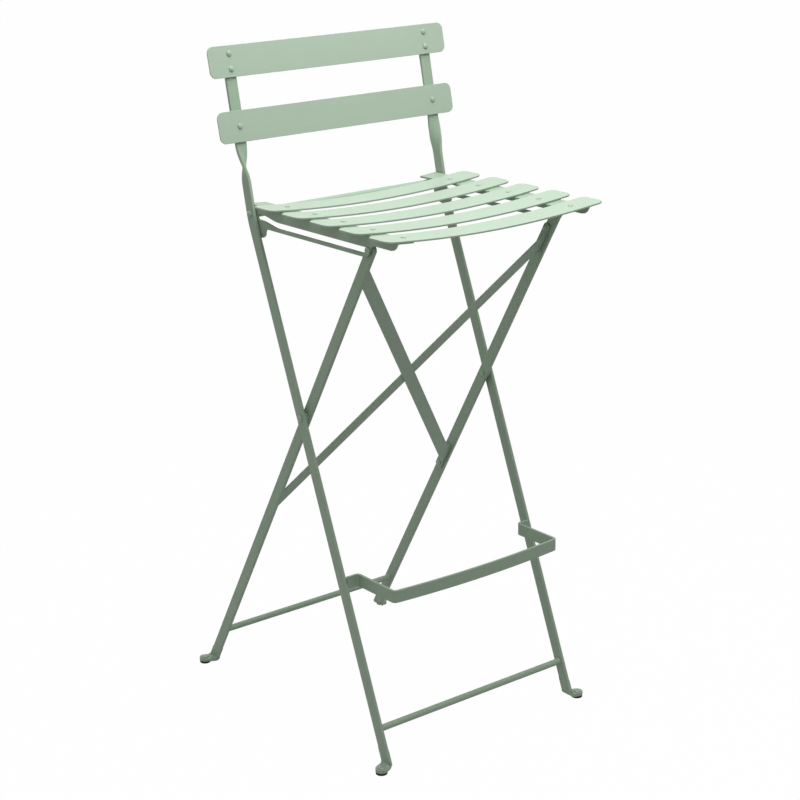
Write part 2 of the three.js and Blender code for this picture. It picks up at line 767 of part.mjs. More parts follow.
function addFeet(group, name, centreX, lean, direction) {
  const centre = footCentre(centreX, lean, direction);
  for (const [word, side] of sides) {
    const glide = add(group, `${name}_glide_${word}`, disc(glideRadius, glideHeight - clearance, glideEdge), rubber);
    pointAlong(glide, new THREE.Vector3(side * centre.x, centre.y, 0), axisZ);
    const grip = legThickness + clearance;
    const pin = headedPin(rivetRadius, pinHeadRadius, rivetHeadHeight, grip, 0);
    const rivet = add(group, `${name}_foot_rivet_${word}`, pin, steel);
    pointAlong(rivet, new THREE.Vector3(side * centre.x, centre.y, tabTop + clearance), axisZ);
  }
}

function buildLongFrame() {
  addPair(longFrame, 'long_leg', longLeg(), paint);
  ['top_back_slat', 'low_back_slat'].forEach((name, i) => {
    const slat = add(longFrame, name, backSlat(backRivets.filter((rivet) => rivet.slat === i)), paint);
    const centre = uprightPoint(stationAtHeight(slatHeights[i]));
    slat.position.set(0, centre.y, centre.z);
    slat.rotation.x = -backLean;
  });
  const slatFront = backSlatMiddle() - longX ** 2 / (2 * backRadius) - backSlatThickness / 2;
  const slatTilt = Math.asin(rivetHeadRadius / backRadius * 2) * rivetHeadRadius;
  for (const rivet of backRivets) {
    for (const [word, side] of sides) {
      const seatAt = -slatFront + clearance + slatTilt;
      const grip = seatAt + legThickness / 2 + clearance;
      const pin = headedPin(rivetRadius, rivetHeadRadius, rivetHeadHeight, grip, tailHeight);
      const at = backRivetPoint(rivet).setX(side * longX).addScaledVector(backNormal, seatAt);
      pointAlong(add(longFrame, `back_rivet_${rivet.name}_${word}`, pin, paint), at, backNormal);
    }
  }
  add(longFrame, 'footrest', footrest(), paint);
  const rod = new THREE.CylinderGeometry(rodRadius, rodRadius, (longInnerX - clearance) * 2, circleSides);
  const front = add(longFrame, 'front_rod', closed(rod), paint);
  pointAlong(front, new THREE.Vector3(0, longLineY(frontRodHeight), frontRodHeight), axisX);
  const seatRod = add(longFrame, 'seat_pivot_rod', seatPivotRod(), paint);
  pointAlong(seatRod, new THREE.Vector3(0, seatPivotY, seatPivotHeight), axisX);
  addFeet(longFrame, 'front', longX, longLean, 1);
  for (const [word, side] of sides) {
    const crossAt = new THREE.Vector3(side * (longOuterX + clearance), pivotY, pivotHeight);
    const crossGrip = longOuterX - shortInnerX + clearance * 2;
    const crossPin = headedPin(pinRadius, pinHeadRadius, pinHeadHeight, crossGrip, pinTailHeight);
    pointAlong(add(longFrame, `cross_pin_${word}`, crossPin, paint), crossAt, outward(side));
    const ring = washer(spacerRadius, pinRadius + clearance, legGap - clearance * 2);
    const ringAt = new THREE.Vector3(side * (longInnerX + shortOuterX) / 2, pivotY, pivotHeight);
    pointAlong(add(longFrame, `cross_spacer_${word}`, ring, paint), ringAt, outward(side));
  }
}

function buildShortFrame() {
  add(shortFrame, 'short_leg_right', shortLeg(frontBracePlane, rearBracePlane), paint);
  add(shortFrame, 'short_leg_left', mirrorX(shortLeg(rearBracePlane, frontBracePlane)), paint);
  const bars = [['brace_low_left', brace(rearBracePlane)], ['brace_low_right', mirrorX(brace(frontBracePlane))]];
  for (const [name, geometry] of bars) {
    const bar = add(shortFrame, name, geometry, paint);
    bar.position.set(0, pivotY, pivotHeight);
    bar.rotation.x = shortLean;
  }
  const places = ['low_a', 'low_b', 'high_a', 'high_b'];
  braceStations.forEach((station, i) => {
    for (const [word, side] of sides) {
      const grip = braceThickness + legThickness + clearance * 2;
      const pin = headedPin(rivetRadius, rivetHeadRadius, rivetHeadHeight, grip, 0);
      const plane = station * side > 0 ? rearBracePlane : frontBracePlane;
      const at = braceRivetPoint(station, plane, side * (shortInnerX - braceThickness - clearance * 2));
      pointAlong(add(shortFrame, `brace_rivet_${places[i]}_${word}`, pin, paint), at, outward(-side));
    }
  });
  const rod = new THREE.CylinderGeometry(rodRadius, rodRadius, (shortInnerX - clearance) * 2, circleSides);
  const rear = add(shortFrame, 'rear_rod', closed(rod), paint);
  pointAlong(rear, new THREE.Vector3(0, shortLineY(rearRodHeight), rearRodHeight), axisX);
  addFeet(shortFrame, 'rear', shortX, shortLean, -1);
  for (const [word, side] of sides) {
    const grip = legThickness + clearance;
    const inner = headedPin(pinRadius, pinHeadRadius, pinTailHeight, grip, 0);
    const innerAt = new THREE.Vector3(side * (shortInnerX - clearance), slotPinY, slotPinHeight);
    pointAlong(add(shortFrame, `slot_pin_${word}`, inner, paint), innerAt, outward(-side));
    const cap = headedPin(pinRadius, pinHeadRadius, pinTailHeight, pinTailHeight / 4, 0);
    const capAt = new THREE.Vector3(side * (railOuterX + clearance + pinTailHeight / 4), slotPinY, slotPinHeight);
    pointAlong(add(shortFrame, `slot_pin_cap_${word}`, cap, paint), capAt, outward(side));
  }
}

function buildSeat() {
  addPair(seat, 'seat_rail', seatRail(), paint);
  seatSlatY.forEach((y, i) => {
    const slat = add(seat, `seat_slat_${i + 1}`, seatSlat(), paint);
    slat.position.y = y;
    for (const [word, side] of sides) {
      const axis = new THREE.Vector3(-side * Math.sin(flangeSlope), 0, Math.cos(flangeSlope));
      const under = seatTop(seatRivetX) + clearance;
      const at = new THREE.Vector3(side * seatRivetX, y, under);
      const grip = seatSlatThickness + railThickness + clearance * 4;
      const pin = headedPin(rivetRadius, rivetHeadRadius, seatRivetHeadHeight, grip, tailHeight);
      pointAlong(add(seat, `seat_rivet_${i + 1}_${word}`, pin, paint), at, axis);
    }
  });
}

buildLongFrame();
buildShortFrame();
buildSeat();

// The origin is on the ground, under the middle of the stool's own box
const box = new THREE.Box3().setFromObject(stool);
stool.position.y = -(box.min.y + box.max.y) / 2;

export default stool;
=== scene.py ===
"""The finish of a folding bar stool: painted flat bar, curved slats, round rivet heads and rubber glides.

Lengths are metres. The front of the stool is towards -Y and its height along +Z.
"""

import math

import bmesh
import bpy
from mathutils import Matrix, Vector


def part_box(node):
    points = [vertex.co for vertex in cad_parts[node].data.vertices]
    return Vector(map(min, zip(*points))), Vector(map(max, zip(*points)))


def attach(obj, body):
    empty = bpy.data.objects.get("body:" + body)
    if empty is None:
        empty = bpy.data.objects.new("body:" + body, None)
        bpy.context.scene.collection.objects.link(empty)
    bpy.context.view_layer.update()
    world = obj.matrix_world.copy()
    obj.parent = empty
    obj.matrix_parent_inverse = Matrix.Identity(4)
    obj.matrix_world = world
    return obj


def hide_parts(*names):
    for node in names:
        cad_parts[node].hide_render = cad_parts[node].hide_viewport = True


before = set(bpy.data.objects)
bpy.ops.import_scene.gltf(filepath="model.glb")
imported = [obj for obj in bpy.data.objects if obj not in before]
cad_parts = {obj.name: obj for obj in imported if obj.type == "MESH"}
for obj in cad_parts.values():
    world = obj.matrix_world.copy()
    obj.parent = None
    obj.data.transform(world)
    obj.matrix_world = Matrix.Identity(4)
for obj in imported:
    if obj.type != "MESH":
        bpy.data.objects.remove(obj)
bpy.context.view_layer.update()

bl_info = {
    "name": "Folding bar stool",
    "version": (1, 0, 0),
    "blender": (4, 5, 0),
    "location": "3D View > Sidebar > Stool",
    "description": "Shapes and paints the pieces of a folding bar stool",
    "category": "Add Mesh",
}

SIDES = (("left", -1), ("right", 1))
UP = Vector((0, 0, 1))
ACROSS = Vector((1, 0, 0))

# Rivets and pins, where a head or a tail is its radius and height and a shank is its radius
RIVET_HEAD = (0.004, 0.0018)
SEAT_RIVET_HEAD = (0.004, 0.001)
RIVET_TAIL = (0.003, 0.001)
RIVET_SHANK = 0.002
FOOT_RIVET_HEAD = (0.0054, 0.0018)
PIN_HEAD = (0.0054, 0.0024)
SLOT_PIN_HEAD = (0.0054, 0.0018)
PIN_TAIL = (0.0042, 0.0018)
PIN_SHANK = 0.003
NO_TAIL = (0, 0)

# Shares of a head's height and radius, and of a tail's height
HEAD_RIM_SHARE = 0.22
HEAD_UNDERSIDE_SHARE = 0.97
TAIL_TAPER_SHARE = 0.4
DOME_STEPS = 6

# Rod that the seat turns on
PIVOT_ROD_RADIUS = 0.0062
PIVOT_ROD_START = 0.0120
PIVOT_ROD_EDGE = 0.0004
PIVOT_ROD_STEPS = 32

# Welds and glides
WELD_STEPS = 5
GLIDE_RIM_SHARE = 0.3
GLIDE_TOP_SHARE = 0.5

# Directions of the rivets in the back and in the dished seat
BACK_LEAN = math.radians(11.8)
SEAT_DISH = 0.010
SEAT_RIVET_X = 0.150
SEAT_SLAT_HALF_LENGTH = 0.1955
SEAT_RIVET_LEAN = math.atan(2 * SEAT_DISH * SEAT_RIVET_X / SEAT_SLAT_HALF_LENGTH**2)

# Mesh work, with angles in degrees where an edge is rounded or shaded sharp
SAME_POINT = 0.000005
SAME_SPUN_POINT = 0.000002
FLAT_ANGLE = math.radians(0.2)
EDGE_SEGMENTS = 2
ROUNDED_FROM = 40
SPACER_ROUNDED_FROM = 50
SHEET_SHARP = 35
ROD_SHARP = 40
TURNED_SHARP = 50
LEG_SHARP = 52
SHADING_WEIGHT = 60

# Coats and rubber
PATCH_SCALE = 14
PATCH_DETAIL = 3
SPECK_SCALE = 1300
SPECK_DETAIL = 1
GRAIN_DETAIL = 2
GRAIN_ROUGHNESS = 0.6
DULLNESS_SCALE = 60
DULLNESS_DETAIL = 2
DULLNESS_SPREAD = 0.12
NOISE_MIDDLE = 0.5
BUMP_STRENGTH = 0.6
FASTENER_ROUGHNESS_SHARE = 0.8
FOOT_RIVET_ROUGHNESS = 0.42
RUBBER_ROUGHNESS = 0.8

# Stage, with the sensor in millimetres
WHITE = (1, 1, 1, 1)
FLOOR_GREY = (0.50, 0.50, 0.50, 1)
FLOOR_SEEN_WHITE = 0.99
KEY_SIZE = 1.1
KEY_PLACE = (0.05, -0.28, 1.90)
KEY_AIM = (0, -0.1, 0.7)
SIDE_SIZE = 1.8
SIDE_PLACE = (-3.0, 0.2, 1.3)
SIDE_AIM = (0, 0, 0.6)
SENSOR_WIDTH = 36
VIEW_END = 60


# Settings


class StoolPaint(bpy.types.PropertyGroup):
    """Colours and grain of the stool's finishes."""

    frame_colour: bpy.props.FloatVectorProperty(
        name="Frame colour",
        description="Powder coat on the legs, rails, braces, stretcher rods and footrest",
        subtype="COLOR",
        size=3,
        min=0,
        max=1,
        default=(0.268, 0.362, 0.262),
    )
    # The slats' colour is the frame's powder coat made lighter: painted light that stands in for the light
    # falling on the slats' tops
    slat_colour_with_painted_light: bpy.props.FloatVectorProperty(
        name="Slat colour",
        description="Powder coat on the slats of the seat and the back",
        subtype="COLOR",
        size=3,
        min=0,
        max=1,
        default=(0.328, 0.418, 0.328),
    )
    fastener_colour: bpy.props.FloatVectorProperty(
        name="Fastener colour",
        description="Powder coat on the rivets, pins, spacers and pivot rod",
        subtype="COLOR",
        size=3,
        min=0,
        max=1,
        default=(0.285, 0.395, 0.287),
    )
    foot_rivet_colour: bpy.props.FloatVectorProperty(
        name="Foot rivet colour",
        description="Bare grey metal of the rivets over the glides",
        subtype="COLOR",
        size=3,
        min=0,
        max=1,
        default=(0.280, 0.320, 0.300),
    )
    rubber_colour: bpy.props.FloatVectorProperty(
        name="Rubber colour",
        description="Black rubber of the glides",
        subtype="COLOR",
        size=3,
        min=0,
        max=1,
        default=(0.012, 0.012, 0.012),
    )
    roughness: bpy.props.FloatProperty(
        name="Coat roughness",
        description="How dull the powder coat is",
        subtype="FACTOR",
        min=0,
        max=1,
        default=0.5,
    )
    grain_per_metre: bpy.props.FloatProperty(
        name="Grain per metre",
        description="How many bumps of the powder coat's grain lie in a metre",
        min=50,
        max=4000,
        default=850,
    )
    grain_height: bpy.props.FloatProperty(
        name="Grain height",
        description="How far the powder coat's grain stands up",
        subtype="DISTANCE",
        unit="LENGTH",
        min=0,
        max=0.001,
        precision=5,
        default=0.00006,
    )


class StoolShape(bpy.types.PropertyGroup):
    """Sizes of the small shapes that the finish adds."""

    sheet_edge: bpy.props.FloatProperty(
        name="Sheet edge",
        description="Rounding along the edges of the slats, rails, braces, footrest and spacers",
        subtype="DISTANCE",
        unit="LENGTH",
        min=0,
        max=0.001,
        precision=5,
        default=0.0004,
    )
    weld_radius: bpy.props.FloatProperty(
        name="Weld radius",
        description="Radius of the weld where a rod meets a leg",
        subtype="DISTANCE",
        unit="LENGTH",
        min=0.001,
        max=0.02,
        precision=5,
        default=0.0062,
    )
    weld_length: bpy.props.FloatProperty(
        name="Weld length",
        description="How far the weld runs along a rod",
        subtype="DISTANCE",
        unit="LENGTH",
        min=0.0005,
        max=0.02,
        precision=5,
        default=0.0030,
    )
    glide_edge: bpy.props.FloatProperty(
        name="Glide edge",
        description="Rounding along the rim of a glide",
        subtype="DISTANCE",
        unit="LENGTH",
        min=0,
        max=0.002,
        precision=5,
        default=0.0008,
    )
    round_steps: bpy.props.IntProperty(
        name="Round steps",
        description="Faces around a rivet, pin, stretcher rod or glide",
        min=8,
        max=96,
        default=28,
    )


class StoolStage(bpy.types.PropertyGroup):
    """Camera, floor and light."""

    camera_place: bpy.props.FloatVectorProperty(
        name="Camera place",
        description="Where the camera stands",
        subtype="TRANSLATION",
        unit="LENGTH",
        size=3,
        default=(-1.69897, -2.19664, 1.34759),
    )
    camera_yaw: bpy.props.FloatProperty(
        name="Camera yaw",
        description="Turn of the view from straight back towards the right",
        subtype="ANGLE",
        unit="ROTATION",
        default=0.66645,
    )
    camera_pitch: bpy.props.FloatProperty(
        name="Camera pitch",
        description="How far the view looks down",
        subtype="ANGLE",
        unit="ROTATION",
        default=0.30716,
    )
    camera_roll: bpy.props.FloatProperty(
        name="Camera roll",
        description="Tilt of the picture",
        subtype="ANGLE",
        unit="ROTATION",
        default=0.01553,
    )
    lens: bpy.props.FloatProperty(
        name="Lens",
        description="Focal length on a sensor 36 mm wide",
        subtype="DISTANCE_CAMERA",
        unit="CAMERA",
        min=10,
        max=500,
        default=87.24418,
    )
    sky_strength: bpy.props.FloatProperty(
        name="Sky strength",
        description="Even light from all round",
        min=0,
        max=3,
        default=0.42,
    )
    key_power: bpy.props.FloatProperty(
        name="Key light",
        description="Power of the large soft light overhead",
        subtype="POWER",
        unit="POWER",
        min=0,
        max=500,
        default=23,
    )
    side_power: bpy.props.FloatProperty(
        name="Side light",
        description="Power of the soft light on the left",
        subtype="POWER",
        unit="POWER",
        min=0,
        max=500,
        default=4,
    )
    floor_size: bpy.props.FloatProperty(
        name="Floor size",
        description="Side of the square floor",
        subtype="DISTANCE",
        unit="LENGTH",
        min=1,
        max=60,
        default=30,
    )


# Nodes and node groups shared by the finishes


def add_socket(group, name, kind, value=None, output=False):
    socket = group.interface.new_socket(name=name, in_out="OUTPUT" if output else "INPUT", socket_type=kind)
    if value is not None:
        socket.default_value = value


def add_math(tree, operation, *values, clamp=False):
    """The result of a math node whose values are numbers or the sockets that feed it."""
    node = tree.nodes.new("ShaderNodeMath")
    node.operation = operation
    node.use_clamp = clamp
    for socket, value in zip(node.inputs, values):
        if isinstance(value, (int, float)):
            socket.default_value = value
        else:
            tree.links.new(value, socket)
    return node.outputs[0]


def add_noise(tree, place, detail):
    noise = tree.nodes.new("ShaderNodeTexNoise")
    noise.inputs["Detail"].default_value = detail
    tree.links.new(place, noise.inputs["Vector"])
    return noise


def coat_tone_group():
    """Slow lighter and darker patches and fine specks over one colour."""
    if "coat_tone" in bpy.data.node_groups:
        return bpy.data.node_groups["coat_tone"]
    group = bpy.data.node_groups.new("coat_tone", "ShaderNodeTree")
    add_socket(group, "Vector", "NodeSocketVector")
    add_socket(group, "Colour", "NodeSocketColor", (0.3, 0.4, 0.3, 1))
    add_socket(group, "Patches", "NodeSocketFloat", 0.06)
    add_socket(group, "Specks", "NodeSocketFloat", 0.08)
    add_socket(group, "Colour", "NodeSocketColor", output=True)
    nodes, links = group.nodes, group.links
    given, made = nodes.new("NodeGroupInput"), nodes.new("NodeGroupOutput")
    brightness = 1
    noises = (("Patches", PATCH_SCALE, PATCH_DETAIL), ("Specks", SPECK_SCALE, SPECK_DETAIL))
    for amount, scale, detail in noises:
        noise = add_noise(group, given.outputs["Vector"], detail)
        noise.inputs["Scale"].default_value = scale
        centred = add_math(group, "SUBTRACT", noise.outputs["Fac"], NOISE_MIDDLE)
        brightness = add_math(group, "MULTIPLY_ADD", centred, given.outputs[amount], brightness)
    tinted = nodes.new("ShaderNodeVectorMath")
    tinted.operation = "SCALE"
    links.new(given.outputs["Colour"], tinted.inputs[0])
    links.new(brightness, tinted.inputs["Scale"])
    links.new(tinted.outputs["Vector"], made.inputs["Colour"])
    return group


def coat_grain_group():
    """Fine grain of a sprayed coat, as a height and as a change of roughness."""
    if "coat_grain" in bpy.data.node_groups:
        return bpy.data.node_groups["coat_grain"]
    group = bpy.data.node_groups.new("coat_grain", "ShaderNodeTree")
    add_socket(group, "Vector", "NodeSocketVector")
    add_socket(group, "Per metre", "NodeSocketFloat", 850)
    add_socket(group, "Roughness", "NodeSocketFloat", 0.5)
    add_socket(group, "Spread", "NodeSocketFloat", DULLNESS_SPREAD)
    add_socket(group, "Height", "NodeSocketFloat", output=True)
    add_socket(group, "Roughness", "NodeSocketFloat", output=True)
    nodes, links = group.nodes, group.links
    given, made = nodes.new("NodeGroupInput"), nodes.new("NodeGroupOutput")
    fine = add_noise(group, given.outputs["Vector"], GRAIN_DETAIL)
    fine.inputs["Roughness"].default_value = GRAIN_ROUGHNESS
    links.new(given.outputs["Per metre"], fine.inputs["Scale"])
    wide = add_noise(group, given.outputs["Vector"], DULLNESS_DETAIL)
    wide.inputs["Scale"].default_value = DULLNESS_SCALE
    both = add_math(group, "ADD", fine.outputs["Fac"], wide.outputs["Fac"])
    centred = add_math(group, "SUBTRACT", both, 2 * NOISE_MIDDLE)
    spread, middle = given.outputs["Spread"], given.outputs["Roughness"]
    dull = add_math(group, "MULTIPLY_ADD", centred, spread, middle, clamp=True)
    links.new(fine.outputs["Fac"], made.inputs["Height"])
    links.new(dull, made.inputs["Roughness"])
    return group


def finish_material(name, colour, roughness, per_metre, height, patches, specks, metallic=0.0, specular=0.4):
    """One finish: the colour with its patches, and the grain as bump and roughness."""
    if name in bpy.data.materials:
        return bpy.data.materials[name]
    material = bpy.data.materials.new(name)
    material.use_nodes = True
    material.diffuse_color = (*colour, 1)
    nodes, links = material.node_tree.nodes, material.node_tree.links
    shader = nodes["Principled BSDF"]
    shader.inputs["Metallic"].default_value = metallic
    shader.inputs["Specular IOR Level"].default_value = specular
    place = nodes.new("ShaderNodeTexCoord")
    tone = nodes.new("ShaderNodeGroup")
    tone.node_tree = coat_tone_group()
    tone.inputs["Colour"].default_value = (*colour, 1)
    tone.inputs["Patches"].default_value = patches
    tone.inputs["Specks"].default_value = specks
    grain = nodes.new("ShaderNodeGroup")
    grain.node_tree = coat_grain_group()
    grain.inputs["Per metre"].default_value = per_metre
    grain.inputs["Roughness"].default_value = roughness
    bump = nodes.new("ShaderNodeBump")
    bump.inputs["Strength"].default_value = BUMP_STRENGTH
    bump.inputs["Distance"].default_value = height
    links.new(place.outputs["Object"], tone.inputs["Vector"])
    links.new(place.outputs["Object"], grain.inputs["Vector"])
    links.new(tone.outputs["Colour"], shader.inputs["Base Color"])
    links.new(grain.outputs["Roughness"], shader.inputs["Roughness"])
    links.new(grain.outputs["Height"], bump.inputs["Height"])
    links.new(bump.outputs["Normal"], shader.inputs["Normal"])
    return material


def frame_paint():
    paint = bpy.context.scene.stool_paint
    return finish_material("frame_coat", paint.frame_colour, paint.roughness, paint.grain_per_metre,
                           paint.grain_height, patches=0.05, specks=0.10)


# The slats' coat carries painted light: its colour is the frame paint lightened for their lit tops
def slat_paint():
    paint = bpy.context.scene.stool_paint
    return finish_material("slat_coat_with_painted_light", paint.slat_colour_with_painted_light, paint.roughness, paint.grain_per_metre,
                           paint.grain_height, patches=0.05, specks=0.10)


def fastener_paint():
    paint = bpy.context.scene.stool_paint
    return finish_material("fastener_coat", paint.fastener_colour, paint.roughness * FASTENER_ROUGHNESS_SHARE,
                           paint.grain_per_metre, paint.grain_height / 2, patches=0.04, specks=0.06)


def foot_rivet_metal():
    paint = bpy.context.scene.stool_paint
    return finish_material("foot_rivet_grey", paint.foot_rivet_colour, FOOT_RIVET_ROUGHNESS,
                           paint.grain_per_metre, paint.grain_height / 2, patches=0.08, specks=0.08,
                           metallic=0.35)


def glide_rubber():
    paint = bpy.context.scene.stool_paint
    return finish_material("glide_black", paint.rubber_colour, RUBBER_ROUGHNESS, paint.grain_per_metre / 2,
                           paint.grain_height, patches=0.10, specks=0.25, specular=0.3)


FINISHES = {
    "frame_paint": frame_paint,
    "slat_paint": slat_paint,
    "fastener_paint": fastener_paint,
    "foot_rivet_steel": foot_rivet_metal,
    "glide_rubber": glide_rubber,
}


# Making pieces


def add_piece(node, shape, body, slot_name, sharp_degrees=SHEET_SHARP):
    """Turns a bmesh into a finished object that stands for one node and rides on its body."""
    for face in shape.faces:
        face.smooth = True
    name = f"{node}_formed"
    mesh = bpy.data.meshes.new(name)
    shape.to_mesh(mesh)
    shape.free()
    mesh.materials.append(FINISHES[slot_name]())
    mesh.set_sharp_from_angle(angle=math.radians(sharp_degrees))
    piece = bpy.data.objects.new(name, mesh)
    bpy.context.scene.collection.objects.link(piece)
    normals = piece.modifiers.new("Even shading", "WEIGHTED_NORMAL")
    normals.keep_sharp = True
    normals.weight = SHADING_WEIGHT
    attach(piece, body)
    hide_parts(node)


def merged_node(node):
    """A node's own shape with its loose triangles joined and its flat faces whole."""
    shape = bmesh.new()
    shape.from_mesh(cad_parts[node].data)
    bmesh.ops.remove_doubles(shape, verts=shape.verts, dist=SAME_POINT)
    bmesh.ops.dissolve_limit(shape, angle_limit=FLAT_ANGLE, verts=shape.verts, edges=shape.edges)
    return shape


def add_rounded(node, body, slot_name, from_degrees=ROUNDED_FROM):
    """A node's own shape with its sharper edges rounded."""
    shape = merged_node(node)
    least = math.radians(from_degrees)
    sharp = [edge for edge in shape.edges if edge.is_manifold and edge.calc_face_angle() > least]
    bmesh.ops.bevel(shape, geom=sharp, offset=bpy.context.scene.stool_shape.sheet_edge, offset_type="OFFSET",
                    segments=EDGE_SEGMENTS, profile=0.5, affect="EDGES", material=-1, clamp_overlap=False)
    add_piece(node, shape, body, slot_name)


def spun(profile, steps):
    """A closed round shape about +Z from radius and height pairs that start and end on the axis."""
    shape = bmesh.new()
    points = [shape.verts.new((radius, 0, height)) for radius, height in profile]
    edges = [shape.edges.new(pair) for pair in zip(points, points[1:])]
    bmesh.ops.spin(shape, geom=points + edges, cent=(0, 0, 0), axis=(0, 0, 1), dvec=(0, 0, 0),
                   angle=math.tau, steps=steps, use_merge=True)
    bmesh.ops.remove_doubles(shape, verts=shape.verts, dist=SAME_SPUN_POINT)
    bmesh.ops.recalc_face_normals(shape, faces=shape.faces)
    return shape


def mirrored(half, length):
    """The whole profile of a piece whose two ends are alike, from the half at its foot."""
    return half + [(radius, length - height) for radius, height in reversed(half)]


def dome_angles():
    """Angles up a round head from just over its rim to just under its top."""
    return [math.pi / 2 * i / DOME_STEPS for i in range(1, DOME_STEPS)]


def placed(shape, point, axis):
    turn = UP.rotation_difference(axis).to_matrix().to_4x4()
    bmesh.ops.transform(shape, matrix=Matrix.Translation(point) @ turn, verts=shape.verts)
    return shape


def span_along(node, axis):
    """The lowest point of a node's centre line along an axis, and its length."""
    points = [vertex.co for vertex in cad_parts[node].data.vertices]
    heights = [point.dot(axis) for point in points]
    low, high = min(heights), max(heights)
    side = axis.orthogonal().normalized()
    other = axis.cross(side)
    across = [point.dot(side) for point in points]
    beyond = [point.dot(other) for point in points]
    centre = side * (min(across) + max(across)) / 2 + other * (min(beyond) + max(beyond)) / 2
    return centre + axis * low, high - low


def add_fastener(node, body, axis, head, shank, tail=NO_TAIL, slot_name="fastener_paint"):
    """A rivet or pin: a low dome on a round shank, with a flat tail where it has one."""
    foot, length = span_along(node, axis)
    head_radius, head_height = head
    tail_radius, tail_height = tail
    base = length - head_height
    rim = head_height * HEAD_RIM_SHARE
    profile = [(0, 0)]
    if tail_height:
        profile += [(shank, 0), (tail_radius, tail_height * TAIL_TAPER_SHARE), (tail_radius, tail_height)]
    profile += [(shank, tail_height), (shank, base), (head_radius * HEAD_UNDERSIDE_SHARE, base)]
    profile.append((head_radius, base + rim))
    for angle in dome_angles():
        profile.append((head_radius * math.cos(angle), base + rim + (head_height - rim) * math.sin(angle)))
    profile.append((0, base + rim + (head_height - rim)))
    shape = placed(spun(profile, bpy.context.scene.stool_shape.round_steps), foot, axis)
    add_piece(node, shape, body, slot_name, TURNED_SHARP)


def add_pivot_rod(node, body):
    """The rod that the seat turns on: thick between the rails, with a neck and a round head at each end."""
    foot, length = span_along(node, ACROSS)
    head_radius, head_height = PIN_HEAD
    half = [(0, 0)]
    for angle in reversed(dome_angles()):
        half.append((head_radius * math.cos(angle), head_height * (1 - math.sin(angle))))
    half += [(head_radius, head_height), (PIN_SHANK, head_height), (PIN_SHANK, PIVOT_ROD_START)]
    half.append((PIVOT_ROD_RADIUS - PIVOT_ROD_EDGE, PIVOT_ROD_START))
    half.append((PIVOT_ROD_RADIUS, PIVOT_ROD_START + PIVOT_ROD_EDGE))
    shape = placed(spun(mirrored(half, length), PIVOT_ROD_STEPS), foot, ACROSS)
    add_piece(node, shape, body, "fastener_paint", TURNED_SHARP)


# Operators


class StoolLegs(bpy.types.Operator):
    """Give the long and short legs even shading and paint"""

    bl_idname = "stool.legs"
    bl_label = "Legs"

    def execute(self, context):
        for word, _side in SIDES:
            for node, body in ((f"long_leg_{word}", "long_frame"), (f"short_leg_{word}", "short_frame")):
                add_piece(node, merged_node(node), body, "frame_paint", LEG_SHARP)
        return {"FINISHED"}


class StoolBraces(bpy.types.Operator):
    """Give the crossed braces and the footrest softened edges and paint"""

    bl_idname = "stool.braces"
    bl_label = "Braces and footrest"

    def execute(self, context):
        for word, _side in SIDES:
            add_rounded(f"brace_low_{word}", "short_frame", "frame_paint")
        add_rounded("footrest", "long_frame", "frame_paint")
        return {"FINISHED"}


class StoolRods(bpy.types.Operator):
    """Make the two stretcher rods, with a weld at each end"""

    bl_idname = "stool.rods"
    bl_label = "Stretcher rods"

    def execute(self, context):
        sizes = context.scene.stool_shape
        for node, body in (("front_rod", "long_frame"), ("rear_rod", "short_frame")):
            foot, length = span_along(node, ACROSS)
            low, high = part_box(node)
            radius = (high[2] - low[2]) / 2
            half = [(0, 0), (sizes.weld_radius, 0)]
            for i in range(1, WELD_STEPS):
                share = i / WELD_STEPS
                bulge = (1 - share) ** 2
                half.append((radius + (sizes.weld_radius - radius) * bulge, sizes.weld_length * share))
            half.append((radius, sizes.weld_length))
            shape = placed(spun(mirrored(half, length), sizes.round_steps), foot, ACROSS)
            add_piece(node, shape, body, "frame_paint", ROD_SHARP)
        return {"FINISHED"}


class StoolRails(bpy.types.Operator):
    """Give the slotted seat rails softened edges and paint"""

    bl_idname = "stool.rails"
    bl_label = "Seat rails"

    def execute(self, context):
        for word, _side in SIDES:
            add_rounded(f"seat_rail_{word}", "seat", "frame_paint")
        return {"FINISHED"}


class StoolSlats(bpy.types.Operator):
    """Give the slats of the seat and the back softened edges and paint"""

    bl_idname = "stool.slats"
    bl_label = "Slats"

    def execute(self, context):
        add_rounded("top_back_slat", "long_frame", "slat_paint")
        add_rounded("low_back_slat", "long_frame", "slat_paint")
        for i in range(1, 6):
            add_rounded(f"seat_slat_{i}", "seat", "slat_paint")
        return {"FINISHED"}


class StoolRivets(bpy.types.Operator):
    """Make the round-headed rivets of the seat, the back and the braces"""

    bl_idname = "stool.rivets"
    bl_label = "Rivets"

    def execute(self, context):
        for word, side in SIDES:
            axis = Vector((0, -math.cos(BACK_LEAN), math.sin(BACK_LEAN)))
            for place in ("top_upper", "top_lower", "low"):
                node = f"back_rivet_{place}_{word}"
                add_fastener(node, "long_frame", axis, RIVET_HEAD, RIVET_SHANK, RIVET_TAIL)
            axis = Vector((-side * math.sin(SEAT_RIVET_LEAN), 0, math.cos(SEAT_RIVET_LEAN)))
            for i in range(1, 6):
                add_fastener(f"seat_rivet_{i}_{word}", "seat", axis, SEAT_RIVET_HEAD, RIVET_SHANK, RIVET_TAIL)
            axis = Vector((-side, 0, 0))
            for place in ("low_a", "low_b", "high_a", "high_b"):
                add_fastener(f"brace_rivet_{place}_{word}", "short_frame", axis, RIVET_HEAD, RIVET_SHANK)
        return {"FINISHED"}


